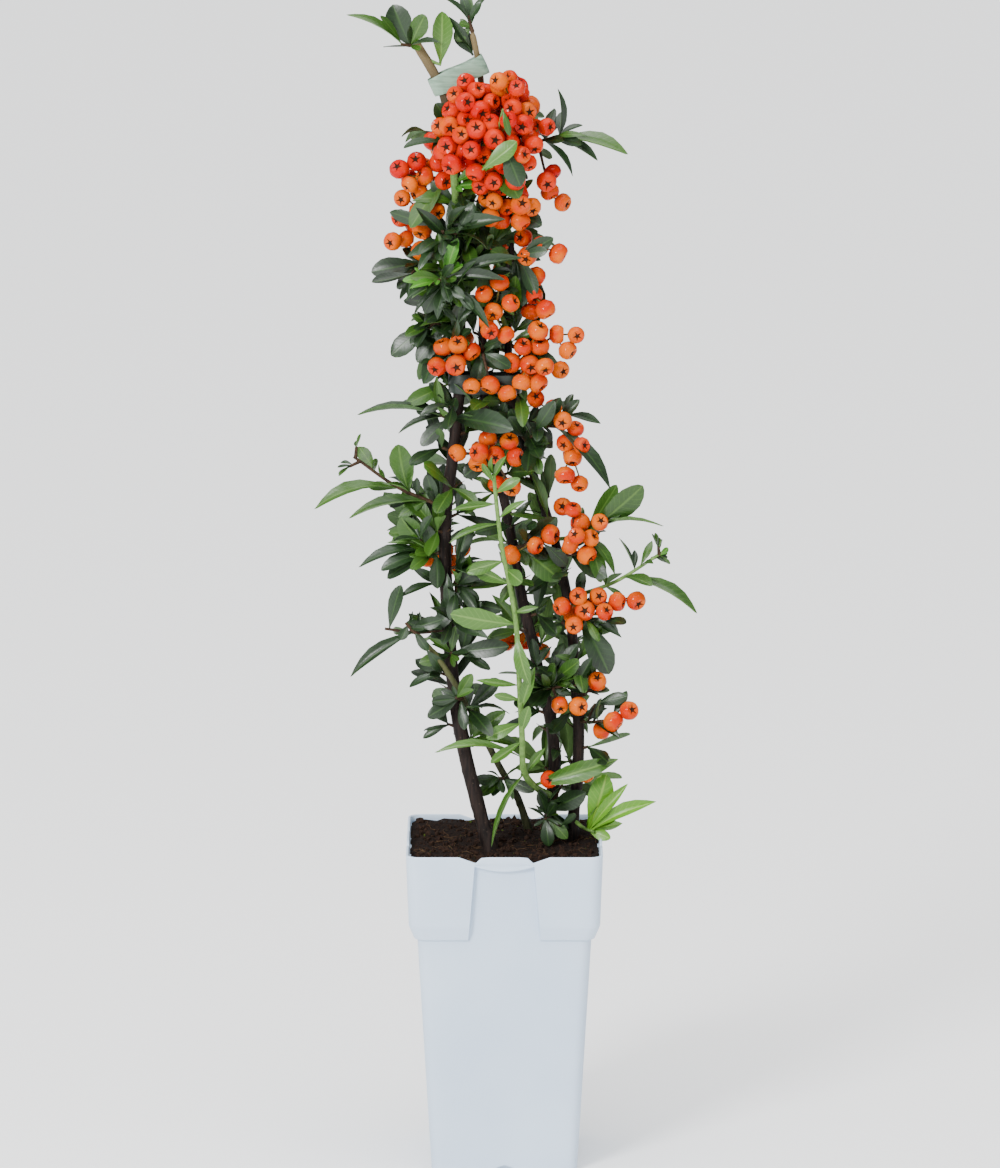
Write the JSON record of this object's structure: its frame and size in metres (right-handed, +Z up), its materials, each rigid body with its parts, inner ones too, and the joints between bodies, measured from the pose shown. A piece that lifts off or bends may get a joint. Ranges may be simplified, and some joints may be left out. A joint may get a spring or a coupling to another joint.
{
  "type": "firethorn shrub in a square nursery pot",
  "caption": "Young potted firethorn: upright stems bundled with tying tape, narrow leaves and clusters of orange berries, in a tall tapered square pot.",
  "frame": {"origin": "centre of the pot's flat underside, on the surface the pot stands on", "axes": "+Z up along the pot's axis; -Y is the front of the plant, where its young shoot and its fullest berry clusters are; +X is to the right seen from the front"},
  "size_m": [0.2148, 0.11, 0.6621],
  "materials": {
    "pot": "moulded polypropylene, pale blue-grey",
    "soil": "damp fibrous peat",
    "bark": "dark smooth young bark with pale pores",
    "tie": "thin grey-green tying tape",
    "foliage": "leathery semi-gloss leaves",
    "young": "soft pale green young leaves",
    "fruit": "smooth orange berries among leaves"
  },
  "bodies": {
    "root": {"pot": "pot", "soil": "soil", "stem_left": "bark", "stem_middle": "bark", "stem_right": "bark", "stem_crossing": "bark", "tie_upper": "tie", "tie_lower": "tie", "tuft_tip_left": "foliage", "leaf_tip_pale": "young", "tuft_tip_right": "foliage", "tuft_right_high": "foliage", "fruit_top_left": "fruit", "fruit_top_right": "fruit", "fruit_top_low": "fruit", "fruit_left_high": "fruit", "shoot_pruned": "young", "fruit_middle_high": "fruit", "rosette_high": "foliage", "rosette_low": "young", "tuft_left_high": "foliage", "tuft_right_mid": "foliage", "fruit_front_mid": "fruit", "tuft_left_mid": "foliage", "fruit_left_mid": "fruit", "fruit_tie": "foliage", "fruit_right_mid": "fruit", "fruit_right_chain": "fruit", "tuft_right_lower": "foliage", "tuft_left_tie": "foliage", "fruit_middle_low": "fruit", "shoot_left_arm": "foliage", "tuft_left_low": "foliage", "tuft_middle_low": "foliage", "twig_left_low": "foliage", "tuft_crossing_tip": "foliage", "leaf_front_fold": "foliage", "young_shoot": "young", "leaf_right_light": "young", "fruit_right_low": "fruit", "fruit_middle_sparse": "foliage", "shoot_right_arm": "young", "fruit_right_foot": "fruit", "spur_right_low": "foliage", "spur_right_mid": "foliage", "fruit_low_middle": "foliage", "tuft_crossing_mid": "foliage", "shoot_foot_right": "young", "tuft_foot_front": "foliage", "fruit_top_back": "fruit", "tuft_top_back": "foliage", "tuft_crossing_low": "foliage", "tuft_back_1": "fruit", "tuft_back_2": "foliage", "tuft_back_3": "foliage", "tuft_back_4": "fruit", "tuft_back_5": "foliage"}
  },
  "joints": []
}
